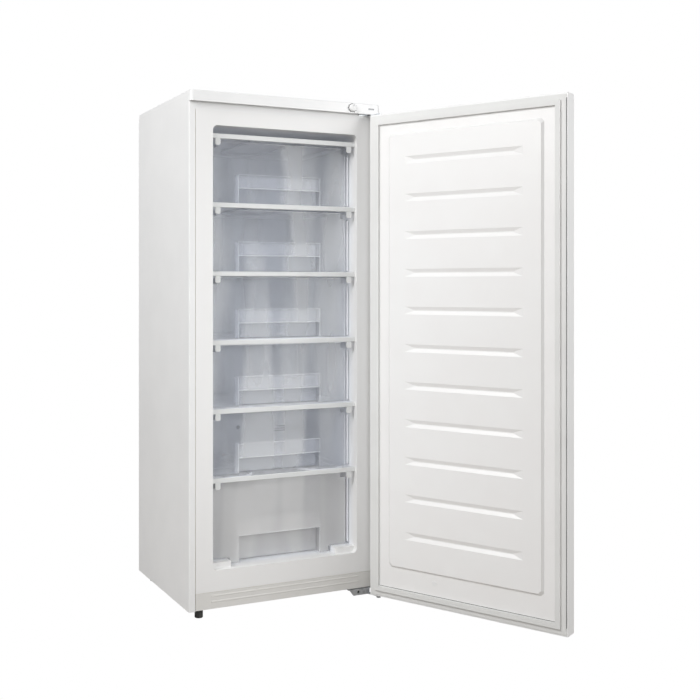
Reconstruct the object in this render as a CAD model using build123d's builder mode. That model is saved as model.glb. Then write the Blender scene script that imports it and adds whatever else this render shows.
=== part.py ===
"""Upright freezer: six pull-out drawers behind one hinged door.

X runs to the right, Y to the back and Z up. The origin is the middle of the
front left foot's sole, on the floor. The door is drawn standing open.
"""

from build123d import *
from math import cos, radians, sin, tan
import os

os.makedirs("parts", exist_ok=True)

# ------------------------------------------------------------ cabinet (mm)
cabinet_width = 585.0
cabinet_depth = 450.0
shell_height = 1392.0
foot_height = 26.0  # floor to the cabinet's lower edge
foot_inset = 40.0  # front left foot, from the cabinet's left side
foot_setback = 32.0  # both front feet, from the cabinet's front
hinge_foot_inset = 55.0  # front right foot, from the right side
steel = 0.8  # painted sheet
fold_radius = 3.0
side_return = 18.0  # folded front edges of the shell's sides
rear_return = 10.0
rail_height = 39.0  # folded front rail under the top cover
flange_gap = 1.2  # dark joint between shell and liner flange
liner_wall = 2.0
side_insulation = 67.0
rear_insulation = 66.0
top_insulation = 76.0
floor_insulation = 103.0
cavity_corner = 14.0
plinth_width = 60.0  # raised blocks along the cavity's floor
plinth_height = 16.0
plinth_setback = 16.0
kick_height = 45.0
kick_lift = 2.0
kick_gap = 0.5  # under the liner's flange
kick_fold = 20.0
bead_height = 0.7
bay_depth = 165.0  # compressor bay, open at the back
bay_height = 230.0
bay_insulation = 45.0
floor_sheet = 1.0

# ------------------------------------------------------------ top cover
cover_rise = 12.0  # above the shell
cover_wall = 3.0
cover_corner = 8.0
cover_edge = 2.5
apron_height = 30.0
apron_reach = 13.0  # in front of the cabinet

# ------------------------------------------------------------ thermostat
knob_from_right = 91.0
knob_drop = 15.0  # below the cover's top
knob_radius = 11.0
knob_length = 8.0
knob_gap = 0.6
shaft_radius = 3.0
turning_gap = 0.05
thermostat_width = 36.0
thermostat_depth = 34.0
thermostat_height = 29.0
thermostat_rise = 9.0  # of its box above the shaft
neck_radius = 6.0
lens_from_right = 28.0
lens_width = 20.0
lens_height = 5.0

# ------------------------------------------------------------ shelves
shelf_count = 6
top_shelf_drop = 27.0  # cavity ceiling to the top shelf
bottom_space = 239.5  # cavity floor to the lowest shelf
tube_radius = 4.0
tube_width = 7.0
tube_passes = 4
bend_chords = 4  # straight pieces that draw each bend
wire = 1.6
wire_count = 6
ledge_width = 7.0
ledge_height = 5.0
trim_height = 13.0
trim_setback = 12.0
trim_wall = 2.5
trim_lip = 1.2
trim_depth = 9.0
tab_inset = 12.0  # drawer stops under the trim's ends
tab_width = 15.0
tab_height = 18.0

# ------------------------------------------------------------ drawers
drawer_setback = 46.0
drawer_side_gap = 8.0
drawer_rear_gap = 18.0
drawer_lift = 0.5  # drawer floor above the trim it passes over
drawer_headroom = 2.5  # drawer rim under the trim above it
drawer_wall = 2.2
drawer_corner = 5.0
rim_reach = 3.0
rim_height = 3.0
pocket_width = 256.0
pocket_height = 81.0
deep_pocket_height = 110.0
pocket_depth = 28.0
grip_bar = 36.0
floor_rib = 1.2
floor_ribs = 4
notch_room = 2.0

# ------------------------------------------------------------ door
door_open_angle = 117.7
door_thickness = 46.0
door_gap = 8.0  # door's inner face to the cabinet's front
pivot_inset = 14.0  # hinge line, from the right side
pivot_reach = 30.0  # hinge line, in front of the cabinet
door_top_gap = 6.0  # under the cover's apron
door_overhang = 12.0  # below the shell's lower edge
door_edge_round = 5.0
door_return = 9.0
top_cap_height = 12.0
bottom_cap_height = 20.0
cap_wall = 2.5
field_rise = 7.2  # raised field of the inner door, clear of the cabinet when shut
field_side = 62.0
field_bottom = 92.0
field_top = 59.0
field_corner = 7.0
field_slope = 40.0
groove_count = 11
groove_length = 352.0
groove_height = 22.0
groove_depth = 4.5
groove_taper = 65.0  # slope of the grooves' long sides
groove_run_out = 81.0  # slope of their ends
groove_first = 138.0  # door's top edge to the first groove
groove_last = 188.0  # door's lower edge to the last groove
gasket_inset = 4.0
gasket_width = 28.0
gasket_base = 1.6
bulb_inset = 18.0
bulb_width = 13.0
squeeze_gap = 0.3
magnet_width = 8.0
magnet_thick = 3.4
bulb_wall = 1.5  # seal's wall over the magnet
handle_drop = 248.0  # door's top edge to the hand grip
handle_length = 176.0
handle_width = 26.0
handle_depth = 16.0
handle_wall = 1.6
handle_inset = 6.0  # door's free edge to the hand grip
plug_radius = 7.0
plug_stem = 4.0
plug_rise = 1.0
plug_from_hinge = 206.0
plug_lift = 68.0

# ------------------------------------------------------------ hinges
hinge_plate = 3.0
hinge_drop = 2.0  # clear space between hinge plates and door
pin_radius = 4.0
pin_reach = 12.0
bush_reach = 7.0  # half width of the square bushes
bush_flange = 10.0
boss_reach = 10.5
bush_lip = 1.5
upper_hinge_width = 60.0
lower_hinge_width = 91.0
upper_tail = 28.0
lower_tail = 56.0
lower_corner_cut = 14.0
tongue_width = 32.0
flange_hole = 4.0
pin_head = 7.0
hinge_edge_gap = 4.0
stop_plate_length = 58.0
stop_plate_width = 20.0
stop_plate_from_edge = 76.0
screw_head = 4.5

# ------------------------------------------------------------ machinery
rail_sheet = 1.5
rail_lip = 12.0
compressor_length = 190.0
compressor_width = 130.0
pot_height = 96.0
dome_height = 30.0
pot_corner = 36.0
compressor_lift = 16.0
compressor_from_right = 205.0
suction_offset = 30.0  # pipes' rising runs, beside the compressor
discharge_offset = 60.0
discharge_port = 44.0  # pipes' ports above the compressor's underside
suction_port = 74.0
port_spacing = 20.0
pipe_end = 4.0
coil_entry = 24.0  # above the bay's ceiling
drier_drop = 30.0  # below the bay's ceiling
capillary_radius = 2.5
mount_spacing_x = 150.0
mount_spacing_y = 90.0
grommet_radius = 10.0
bolt_radius = 3.0
bolt_hole = 3.4
box_width = 62.0
box_depth = 40.0
box_height = 66.0
inlet_radius = 5.0
pipe_radius = 3.2
bend_cut = 10.0  # length a pipe's slanting corner takes from each run
pipe_slot = 5.0  # half width of the holes for pipes
drier_radius = 9.0
drier_length = 96.0
coil_tube = 5.0
coil_passes = 4
coil_pitch = 130.0
coil_room = 7.0
coil_cut = 40.0
sole_radius = 11.5
foot_body = 21.0
stud_radius = 4.0
stud_top = 22.0  # above the cabinet's lower edge
nut_radius = 8.0
nut_height = 7.0
rear_foot_radius = 16.0
rear_foot_inset = 40.0

# ------------------------------------------------------------ places
left = -foot_inset
right = left + cabinet_width
middle = (left + right) / 2
front = -foot_setback
back = front + cabinet_depth
base = foot_height
shell_top = base + shell_height
cover_top = shell_top + cover_rise
apron_front = front - apron_reach
apron_bottom = cover_top - apron_height

cavity_left = left + side_insulation + liner_wall
cavity_right = right - side_insulation - liner_wall
cavity_width = cavity_right - cavity_left
cavity_back = back - steel - rear_insulation - liner_wall
cavity_floor = base + floor_insulation + liner_wall
cavity_ceiling = shell_top - top_insulation - liner_wall
flange_left = left + side_return + flange_gap
flange_right = right - side_return - flange_gap
flange_top = shell_top - rail_height
flange_bottom = base + kick_lift + kick_height + kick_gap
floor_front = front + kick_fold + 2

bay_front = back - bay_depth
bay_top = base + bay_height
step_front = bay_front - bay_insulation - liner_wall
step_top = bay_top + bay_insulation + liner_wall
panel_seat = back - steel
foam_back = panel_seat - steel - coil_room

top_shelf = cavity_ceiling - top_shelf_drop
low_shelf = cavity_floor + bottom_space
shelf_pitch = (top_shelf - low_shelf) / (shelf_count - 1)
shelf_levels = [top_shelf - i * shelf_pitch for i in range(shelf_count)]
shelf_front = front + trim_setback + trim_wall
wire_top = trim_height / 2 + 0.2  # above a shelf's level
tube_flat = tube_width / 2
tube_rise = wire_top - wire - tube_flat

drawer_front = front + drawer_setback
drawer_left = cavity_left + drawer_side_gap
drawer_right = cavity_right - drawer_side_gap
drawer_width = drawer_right - drawer_left
drawer_seat = trim_height / 2 + drawer_lift
drawer_height = shelf_pitch - drawer_seat - trim_height / 2 - drawer_headroom
drawer_stop_x = cavity_left + tab_inset + tab_width / 2

knob_x = right - knob_from_right
knob_z = cover_top - knob_drop
front_feet = [0.0, right - hinge_foot_inset]

pivot_x = right - pivot_inset
pivot_y = front - pivot_reach
door_frame = Plane(
    origin=(pivot_x, pivot_y, 0),
    x_dir=(cos(radians(door_open_angle)), sin(radians(door_open_angle)), 0),
    z_dir=(0, 0, 1),
)
# The door's own X and Y start at the hinge line, with X along the closed
# door to its hinge side and Y from its outer to its inner face.
hinge_edge = pivot_inset
free_edge = pivot_inset - cabinet_width
door_middle = (free_edge + hinge_edge) / 2
door_inside = pivot_reach - door_gap
door_outside = door_inside - door_thickness
door_bottom = base - door_overhang
door_top = apron_bottom - door_top_gap
liner_back = door_inside - liner_wall
field_face = door_inside + field_rise
handle_high = door_top - handle_drop
handle_low = handle_high - handle_length
handle_edge = free_edge + handle_inset
handle_floor = door_outside + handle_depth
plug_x = hinge_edge - plug_from_hinge

upper_plate = door_top + hinge_drop
lower_plate = door_bottom - hinge_plate - hinge_drop - 1
upper_hinge_x = right - hinge_edge_gap - upper_hinge_width
lower_hinge_x = right - hinge_edge_gap - lower_hinge_width
upper_screws = [(upper_hinge_x + 12, front + 16), (upper_hinge_x + 46, front + 16)]
lower_screws = [(lower_hinge_x + 10, front + 44), (lower_hinge_x + 76, front + 44)]

compressor_x = right - compressor_from_right
compressor_y = (bay_front + back) / 2
rail_front = bay_front + 8
rail_back = back - 12
mount_points = [
    (compressor_x + i * mount_spacing_x / 2, compressor_y + j * mount_spacing_y / 2)
    for i in (-1, 1)
    for j in (-1, 1)
]
pot_floor = base + compressor_lift
pipe_y = cavity_back + liner_wall + 34
suction_rise = low_shelf + tube_rise
suction_x = compressor_x - compressor_length / 2 - suction_offset
discharge_x = compressor_x - compressor_length / 2 - discharge_offset
drier_x = left + 110.0
box_x = compressor_x + compressor_length / 2 + box_depth / 2 - 4


def block(x0, x1, y0, y1, z0, z1, mode=Mode.ADD):
    """A box between two corners, within the locations now in force."""
    with Locations(((x0 + x1) / 2, (y0 + y1) / 2, (z0 + z1) / 2)):
        return Box(x1 - x0, y1 - y0, z1 - z0, mode=mode)


def rod(x, y, z0, z1, radius, mode=Mode.ADD):
    """An upright cylinder between two heights."""
    with Locations((x, y, (z0 + z1) / 2)):
        return Cylinder(radius, z1 - z0, mode=mode)


def rod_y(x, z, y0, y1, radius, mode=Mode.ADD):
    """A cylinder along Y between two depths."""
    with Locations(Location((x, (y0 + y1) / 2, z), (90, 0, 0))):
        return Cylinder(radius, y1 - y0, mode=mode)


def on_door(plane):
    """Carries a plane given in the door's own coordinates to the open door."""
    return Plane(door_frame.location * plane.location)


def facing_in(y):
    """A plane of the door looking into the cabinet, sketched in (-X, Z)."""
    return on_door(Plane(origin=(0, y, 0), x_dir=(-1, 0, 0), z_dir=(0, 1, 0)))


def facing_out(y):
    """A plane of the door looking away from the cabinet, sketched in (X, Z)."""
    return on_door(Plane(origin=(0, y, 0), x_dir=(1, 0, 0), z_dir=(0, -1, 0)))


def save(builder, name):
    builder.part.label = name
    export_step(builder.part, f"parts/{name}.step")


# ============================================================ cabinet
def make_cabinet_shell():
    with BuildPart() as shell:
        with BuildSketch(Plane.XY.offset(base)):
            with Locations((middle, (front + back) / 2)):
                RectangleRounded(cabinet_width, cabinet_depth, fold_radius)
                RectangleRounded(
                    cabinet_width - 2 * steel,
                    cabinet_depth - 2 * steel,
                    fold_radius - steel,
                    mode=Mode.SUBTRACT,
                )
        extrude(amount=shell_height)
        with BuildSketch(Plane.XY.offset(shell_top)):
            with Locations((middle, (front + back) / 2)):
                RectangleRounded(cabinet_width, cabinet_depth, fold_radius)
        extrude(amount=-steel)
        block(left + side_return, right - side_return, front - 1, front + steel + 1,
              base - 1, flange_top, mode=Mode.SUBTRACT)
        block(left + rear_return, right - rear_return, back - steel - 1, back + 1,
              base - 1, shell_top - rear_return, mode=Mode.SUBTRACT)
        # room for the thermostat behind the rail
        block(knob_x - thermostat_width / 2 - 2, knob_x + thermostat_width / 2 + 2,
              front + steel, front + steel + thermostat_depth + 4,
              shell_top - 2, shell_top + 1, mode=Mode.SUBTRACT)
        rod_y(knob_x, knob_z, front - 1, front + steel + 1, neck_radius, Mode.SUBTRACT)
    save(shell, "cabinet_shell")


def make_back_panel():
    low = bay_top + floor_sheet
    high = shell_top - steel
    with BuildPart() as panel:
        block(left + fold_radius, right - fold_radius, panel_seat - steel, panel_seat,
              low, high)
        # upright pressed beads stiffen the sheet
        with BuildSketch(Plane.ZX.offset(panel_seat)):
            with Locations(((low + high) / 2, middle)):
                with GridLocations(0, cabinet_width / 4, 1, 3):
                    Rectangle(high - low - 160, 18)
        extrude(amount=bead_height, taper=45)
    save(panel, "back_panel")


def make_kick_plate():
    low = base + kick_lift
    high = low + kick_height
    with BuildPart() as plate:
        block(flange_left, flange_right, front, front + steel, low, high)
        block(flange_left, flange_right, front, front + kick_fold, low, low + steel)
        # two pressed lines run along the plate
        with BuildSketch(Plane.XZ.offset(-front)):
            with Locations((middle, low + kick_height * 0.6)):
                with GridLocations(0, kick_height * 0.34, 1, 2):
                    Rectangle(flange_right - flange_left - 90, 4)
        extrude(amount=bead_height, taper=40)
    save(plate, "kick_plate")


def make_base_panel():
    """One folded sheet: floor under the insulation, bay wall and bay ceiling."""
    half = floor_sheet / 2
    with BuildPart() as panel:
        with BuildSketch(Plane.YZ.offset(left + fold_radius)):
            with BuildLine():
                Polyline(
                    (floor_front, base + half),
                    (bay_front - half, base + half),
                    (bay_front - half, bay_top + half),
                    (panel_seat, bay_top + half),
                )
            trace(line_width=floor_sheet)
        extrude(amount=cabinet_width - 2 * fold_radius)
        # six-sided holes for the feet's pressed nuts, square ones for the pipes
        with BuildSketch(Plane.XY.offset(base - 1)):
            with Locations(*[(x, 0) for x in front_feet]):
                RegularPolygon(nut_radius, 6)
        extrude(amount=3, mode=Mode.SUBTRACT)
        for x in (suction_x, discharge_x):
            block(x - pipe_slot, x + pipe_slot, pipe_y - pipe_slot, pipe_y + pipe_slot,
                  bay_top - 1, bay_top + 2, mode=Mode.SUBTRACT)
    save(panel, "base_panel")


def make_compressor_rail():
    """Channel across the bay floor that carries the compressor."""
    half = rail_sheet / 2
    with BuildPart() as rail:
        with BuildSketch(Plane.YZ.offset(left + steel)):
            with BuildLine():
                Polyline(
                    (rail_front + half, base + rail_lip),
                    (rail_front + half, base + half),
                    (rail_back - half, base + half),
                    (rail_back - half, base + rail_lip),
                )
            trace(line_width=rail_sheet)
        extrude(amount=cabinet_width - 2 * steel)
        with BuildSketch(Plane.XY.offset(base - 1)):
            with Locations(*mount_points):
                RegularPolygon(bolt_hole, 6)
        extrude(amount=4, mode=Mode.SUBTRACT)
    save(rail, "compressor_rail")


def cavity_form(grow, face):
    """The cavity's hollow, grown on every side, from the given front face."""
    x0, x1 = cavity_left - grow, cavity_right + grow
    z0, z1 = cavity_floor - grow, cavity_ceiling + grow
    blocks_top = cavity_floor + plinth_height - grow
    with BuildPart(mode=Mode.PRIVATE) as form:
        with BuildSketch(Plane.ZX.offset(face)):
            with Locations(((z0 + z1) / 2, middle)):
                RectangleRounded(z1 - z0, x1 - x0, cavity_corner + grow)
        extrude(amount=cavity_back + grow - face)
        # the step over the compressor bay
        block(x0 - 1, x1 + 1, step_front + grow, cavity_back + grow + 1,
              z0 - 1, step_top - grow, mode=Mode.SUBTRACT)
        # the raised blocks along the floor
        for near, far in ((x0 - 1, cavity_left + plinth_width - grow),
                          (cavity_right - plinth_width + grow, x1 + 1)):
            block(near, far, front + plinth_setback + grow, step_front + grow + 1,
                  z0 - 1, blocks_top, mode=Mode.SUBTRACT)
    return form.part


def make_liner():
    with BuildPart() as liner:
        block(flange_left, flange_right, front, front + liner_wall, flange_bottom, flange_top)
        add(cavity_form(liner_wall, front))
        add(cavity_form(0.0, front - 1), mode=Mode.SUBTRACT)
        # ledges under the shelves, with a sloping underside
        for level in shelf_levels:
            top = level + tube_rise - tube_flat
            low = top - ledge_height
            for side, reach in ((cavity_left, ledge_width), (cavity_right, -ledge_width)):
                with BuildSketch(Plane.ZX.offset(shelf_front)):
                    with BuildLine():
                        Polyline(
                            (top, side),
                            (top, side + reach),
                            (low, side + reach * 0.7),
                            (low, side),
                            close=True,
                        )
                    make_face()
                extrude(amount=cavity_back - shelf_front)
        block(suction_x - pipe_slot, suction_x + pipe_slot, cavity_back - 1,
              cavity_back + liner_wall + 1, suction_rise - pipe_slot,
              suction_rise + pipe_slot, mode=Mode.SUBTRACT)
    save(liner, "liner")


def make_foam_core():
    with BuildPart() as foam:
        with BuildSketch(Plane.XY.offset(base + floor_sheet)):
            with Locations((middle, (front + back) / 2)):
                RectangleRounded(
                    cabinet_width - 2 * steel,
                    cabinet_depth - 2 * steel,
                    fold_radius - steel,
                )
        extrude(amount=shell_height - floor_sheet - steel)
        block(left, right, front, front + liner_wall, base, shell_top, mode=Mode.SUBTRACT)
        block(left, right, foam_back, back, base, shell_top, mode=Mode.SUBTRACT)
        add(cavity_form(liner_wall, front), mode=Mode.SUBTRACT)
        block(left, right, front, floor_front, base, flange_bottom, mode=Mode.SUBTRACT)
        block(left, right, bay_front - floor_sheet, back, base, bay_top + floor_sheet,
              mode=Mode.SUBTRACT)
        # room for the thermostat, the feet's studs and nuts, and the pipes
        block(knob_x - thermostat_width / 2 - 2, knob_x + thermostat_width / 2 + 2,
              front, front + steel + thermostat_depth + 4,
              knob_z + thermostat_rise - thermostat_height - 2, shell_top,
              mode=Mode.SUBTRACT)
        for x in front_feet:
            block(x - nut_radius - 3, x + nut_radius + 3, -nut_radius - 3, nut_radius + 3,
                  base, base + stud_top + 4, mode=Mode.SUBTRACT)
        for x, top in ((suction_x, suction_rise + 10), (discharge_x, bay_top + 40)):
            block(x - 7, x + 7, pipe_y - 7, foam_back + 1, bay_top, top, mode=Mode.SUBTRACT)
        block(suction_x - 7, suction_x + 7, cavity_back, pipe_y,
              suction_rise - 10, suction_rise + 10, mode=Mode.SUBTRACT)
    save(foam, "foam_core")


def make_top_cover():
    lid = cover_wall
    with BuildPart() as cover:
        with BuildSketch(Plane.XY.offset(shell_top)):
            with Locations((middle, (apron_front + back) / 2)):
                RectangleRounded(cabinet_width, back - apron_front, cover_corner)
        extrude(amount=cover_rise)
        with BuildSketch(Plane.XY.offset(apron_bottom)):
            with Locations((middle, (apron_front + back) / 2)):
                RectangleRounded(cabinet_width, back - apron_front, cover_corner)
            with Locations((middle, (front + back) / 2)):
                Rectangle(cabinet_width, cabinet_depth, mode=Mode.SUBTRACT)
        extrude(amount=apron_height)
        chamfer(cover.faces().sort_by(Axis.Z)[-1].edges(), cover_edge)
        # hollow behind the apron and under the lid
        block(left + lid, right - lid, apron_front + lid, back - lid,
              shell_top - 1, cover_top - lid, mode=Mode.SUBTRACT)
        block(left + lid, right - lid, apron_front + lid, front + 1,
              apron_bottom - 1, cover_top - lid, mode=Mode.SUBTRACT)
        # ribs that rest on the shell
        with Locations((middle, (front + back) / 2 + 30, (shell_top + cover_top - lid) / 2)):
            with GridLocations(cabinet_width / 4, 0, 3, 1):
                Box(2, cabinet_depth - 120, cover_rise - lid)
        rod_y(knob_x, knob_z, apron_front - 1, apron_front + lid + 1, shaft_radius + 2,
              Mode.SUBTRACT)
        block(right - lens_from_right - lens_width / 2, right - lens_from_right + lens_width / 2,
              apron_front - 1, apron_front + lid + 1,
              knob_z - lens_height / 2, knob_z + lens_height / 2, mode=Mode.SUBTRACT)
    save(cover, "top_cover")


def make_thermostat():
    floor = knob_z + thermostat_rise - thermostat_height
    with BuildPart() as body:
        block(knob_x - thermostat_width / 2, knob_x + thermostat_width / 2,
              front + steel, front + steel + thermostat_depth,
              floor, floor + thermostat_height)
        chamfer(body.edges().filter_by(Axis.Y), 2)
        with BuildSketch(Plane.XZ.offset(-front - steel)):
            with Locations((knob_x, knob_z)):
                RegularPolygon(neck_radius, 12)
        extrude(amount=steel + apron_reach - cover_wall)
        rod_y(knob_x, knob_z, apron_front, front + 6, shaft_radius + turning_gap,
              Mode.SUBTRACT)
    save(body, "thermostat_body")

    knob_back = apron_front - knob_gap
    with BuildPart() as knob:
        with BuildSketch(Plane.XZ.offset(-knob_back)):
            with Locations((knob_x, knob_z)):
                RegularPolygon(knob_radius, 24)
        extrude(amount=knob_length)
        chamfer(knob.edges().group_by(Axis.Y)[0], 1.2)
        # pointer ridge across the face
        block(knob_x - 1, knob_x + 1, knob_back - knob_length - 1, knob_back - knob_length,
              knob_z - knob_radius + 4, knob_z + knob_radius - 2)
        # shaft that turns in the thermostat's neck
        rod_y(knob_x, knob_z, knob_back, front + 5, shaft_radius)
    save(knob, "thermostat_knob")

    with BuildPart() as lens:
        with BuildSketch(Plane.XZ.offset(-apron_front - 0.6)):
            with Locations((right - lens_from_right, knob_z)):
                Rectangle(lens_width, lens_height)
        extrude(amount=-4)
    save(lens, "indicator_lens")


# ============================================================ shelves
def make_shelf(number, level):
    """Evaporator shelf: a bent tube with a wire grid welded across it."""
    rise = level + tube_rise
    depth = cavity_back - 8 - shelf_front
    centre = shelf_front + 0.3 + depth / 2
    x0 = cavity_left + 1 + tube_flat
    pitch = (cavity_width - 2 - tube_width) / (tube_passes - 1)
    reach = depth / 2 - tube_flat - pitch / 2
    turn = 180 / bend_chords
    route = [(x0, centre + reach + pitch / 2, rise)]
    for i in range(tube_passes - 1):
        side = -1 if i % 2 == 0 else 1
        for k in range(bend_chords + 1):
            angle = radians(k * turn)
            route.append((
                x0 + i * pitch + pitch / 2 * (1 - cos(angle)),
                centre + side * (reach + pitch / 2 * sin(angle)),
                rise,
            ))
    side = -1 if tube_passes % 2 == 1 else 1
    route.append((x0 + (tube_passes - 1) * pitch, centre + side * (reach + pitch / 2), rise))
    with BuildPart() as shelf:
        with BuildLine():
            Polyline(*route)
        with BuildSketch(Plane(origin=route[0], z_dir=(0, -1, 0))):
            Rectangle(tube_width, tube_width)
        sweep(transition=Transition.RIGHT)
        width = cavity_width - 3
        window = (depth - wire_count * wire) / (wire_count - 1)
        with BuildSketch(Plane.XY.offset(level + wire_top - wire)):
            with Locations((middle, centre)):
                Rectangle(width, depth)
                with GridLocations(0, window + wire, 1, wire_count - 1):
                    Rectangle(width - 2 * wire, window, mode=Mode.SUBTRACT)
        extrude(amount=wire)
    save(shelf, f"evaporator_shelf_{number}")


def make_trim(number, level):
    low = level - trim_height / 2
    high = level + trim_height / 2
    face = front + trim_setback
    with BuildPart() as trim:
        with BuildSketch(Plane.YZ.offset(cavity_left + 0.5)):
            with BuildLine():
                Polyline(
                    (face, low + 1),
                    (face, high - 1),
                    (face + 1, high),
                    (face + trim_wall, high),
                    (face + trim_wall, low + trim_lip),
                    (face + trim_depth, low + trim_lip),
                    (face + trim_depth, low),
                    (face + 1, low),
                    close=True,
                )
            make_face()
        extrude(amount=cavity_width - 1)
        # the ledges of the liner pass over the ends of the lower lip
        for x in (cavity_left, cavity_right):
            block(x - ledge_width - 1, x + ledge_width + 1, face + trim_wall, face + trim_depth + 1,
                  low - 1, high + 1, mode=Mode.SUBTRACT)
        # stops for the drawer below
        with BuildSketch(Plane.XZ.offset(-face)) as tabs:
            with Locations((middle, low - tab_height / 2)):
                with GridLocations(cavity_width - 2 * tab_inset - tab_width, 0, 2, 1):
                    Rectangle(tab_width, tab_height)
            chamfer(tabs.vertices().group_by(Axis.Y)[0], 3)
        extrude(amount=-trim_wall)
    save(trim, f"shelf_trim_{number}")


# ============================================================ drawers
def tub_outline(height, inset, width, depth):
    """A drawer's outline less a wall, with its corners cut."""
    with BuildSketch(Plane.XY.offset(height)) as outline:
        with Locations((middle, drawer_front + depth / 2)):
            Rectangle(width - 2 * inset, depth - 2 * inset)
        chamfer(outline.vertices(), drawer_corner - 0.6 * inset)
    return outline.sketch


def tub_form(inset, floor, top, rear, shoulder):
    """A drawer's body less a wall; below the shoulder it is narrower."""
    depth = rear - drawer_front
    upper = max(floor, shoulder) + inset
    with BuildPart(mode=Mode.PRIVATE) as form:
        extrude(tub_outline(upper, inset, drawer_width, depth), amount=top - upper)
        if shoulder > floor:
            narrow = cavity_width - 2 * plinth_width - 8
            extrude(tub_outline(floor + inset, inset, narrow, depth),
                    amount=shoulder - floor + 1)
    return form.part


def make_drawer(number, floor, top, rear, pocket, shoulder=0.0):
    half = pocket_width / 2
    bar_bottom = floor + pocket - grip_bar
    wall = drawer_wall
    with BuildPart() as drawer:
        add(tub_form(0.0, floor, top, rear, shoulder))
        # rim round the sides and the back
        extrude(tub_outline(top - rim_height, 0.0, drawer_width + 2 * rim_reach,
                            rear + rim_reach - drawer_front), amount=rim_height)
        with BuildPart(mode=Mode.PRIVATE) as hollow:
            add(tub_form(wall, floor, top + 1, rear, shoulder))
            block(middle - half - wall, middle + half + wall, drawer_front,
                  drawer_front + pocket_depth + wall, floor, floor + pocket + wall,
                  mode=Mode.SUBTRACT)
            # ribs along the floor
            with Locations((middle, (drawer_front + rear) / 2, floor + wall)):
                with GridLocations(drawer_width / (floor_ribs + 1), 0, floor_ribs, 1):
                    Box(3, rear - drawer_front, 2 * floor_rib, mode=Mode.SUBTRACT)
        add(hollow.part, mode=Mode.SUBTRACT)
        # finger pocket behind the grip bar, open below
        block(middle - half, middle + half, drawer_front - 1, drawer_front + pocket_depth,
              floor - 1, bar_bottom, mode=Mode.SUBTRACT)
        block(middle - half, middle + half, drawer_front + wall, drawer_front + pocket_depth,
              floor - 1, floor + pocket, mode=Mode.SUBTRACT)
        # notches that let the front pass the trim's stops
        for x in (drawer_stop_x, 2 * middle - drawer_stop_x):
            block(x - tab_width / 2 - notch_room, x + tab_width / 2 + notch_room,
                  drawer_front - 1, drawer_front + drawer_corner + 1,
                  top - tab_height, top + 1, mode=Mode.SUBTRACT)
    save(drawer, f"drawer_{number}")


# ============================================================ door
def door_form(inset, low, high):
    """The door's outline less a wall, between two heights."""
    with BuildPart(mode=Mode.PRIVATE) as form:
        with BuildSketch(on_door(Plane.XY.offset(low))) as outline:
            with Locations((door_middle, (door_inside + door_outside) / 2)):
                Rectangle(cabinet_width - 2 * inset, door_thickness - 2 * inset)
            fillet(outline.vertices().group_by(Axis.Y)[0], door_edge_round - inset)
        extrude(amount=high - low)
    return form.part


def sloped_pads(face, centre, width, height, rise, slope, end_slope, rows=1, pitch=0.0):
    """Low pads with sloping sides on the inner door, from two crossed profiles.

    They stand on the plane at depth face; a negative rise sinks them into it.
    """
    turn = 1 if rise > 0 else -1
    seat = (door_middle, face, centre)
    foot = (Align.CENTER, Align.MIN)
    with BuildPart(mode=Mode.PRIVATE) as pads:
        with BuildSketch(on_door(Plane(origin=seat, x_dir=(0, 0, 1), z_dir=(-turn, 0, 0)))):
            with GridLocations(pitch, 0, rows, 1):
                Trapezoid(height, abs(rise), 90 - slope, align=foot)
        extrude(amount=width / 2, both=True)
        with BuildSketch(on_door(Plane(origin=seat, x_dir=(1, 0, 0), z_dir=(0, 0, turn)))):
            Trapezoid(width, abs(rise), 90 - end_slope, align=foot)
        extrude(amount=rows * pitch + height, both=True, mode=Mode.INTERSECT)
    return pads.part


def wall_step(sink, slope):
    """How far a sloping wall's foot moves outward when its surface sinks."""
    return sink * (1 / cos(radians(slope)) - tan(radians(slope)))


def field_form(sink):
    """The inner door's raised field, sunk by a wall for its back."""
    step = wall_step(sink, field_slope)
    width = cabinet_width - 2 * field_side - 2 * step
    height = door_top - door_bottom - field_top - field_bottom - 2 * step
    centre = (door_top - field_top + door_bottom + field_bottom) / 2
    with BuildPart(mode=Mode.PRIVATE) as form:
        add(sloped_pads(door_inside - sink, centre, width, height, field_rise,
                        field_slope, field_slope))
        chamfer(form.edges().sort_by(SortBy.LENGTH)[:4], field_corner - sink)
    return form.part


def groove_forms(sink):
    """The grooves across the field, or with a wall's sink their backs."""
    first = door_top - groove_first
    last = door_bottom + groove_last
    return sloped_pads(field_face - sink, (first + last) / 2,
                       groove_length + 2 * wall_step(sink, groove_run_out),
                       groove_height + 2 * wall_step(sink, groove_taper),
                       -groove_depth, groove_taper, groove_run_out,
                       groove_count, (first - last) / (groove_count - 1))


def make_door_skin():
    low = door_bottom + bottom_cap_height
    high = door_top - top_cap_height
    with BuildPart() as skin:
        add(door_form(0.0, low, high))
        add(door_form(steel, low - 1, high + 1), mode=Mode.SUBTRACT)
        with Locations(door_frame.location):
            block(free_edge + door_return, hinge_edge - door_return,
                  door_inside - steel - 1, door_inside + 1, low - 1, high + 1,
                  mode=Mode.SUBTRACT)
            block(handle_edge, handle_edge + handle_width, door_outside - 1,
                  handle_floor, handle_low, handle_high, mode=Mode.SUBTRACT)
    save(skin, "door_skin")


def make_door_liner():
    low = door_bottom + bottom_cap_height
    high = door_top - top_cap_height
    with BuildPart() as liner:
        with Locations(door_frame.location):
            block(free_edge + door_return, hinge_edge - door_return,
                  liner_back, door_inside, low, high)
        add(field_form(0.0))
        add(field_form(liner_wall), mode=Mode.SUBTRACT)
        add(groove_forms(liner_wall))
        add(groove_forms(0.0), mode=Mode.SUBTRACT)
        with BuildSketch(facing_in(liner_back - 1)):
            with Locations((-plug_x, door_bottom + plug_lift)):
                RegularPolygon(plug_stem, 8)
        extrude(amount=liner_wall + 2, mode=Mode.SUBTRACT)
    save(liner, "door_liner")


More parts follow.
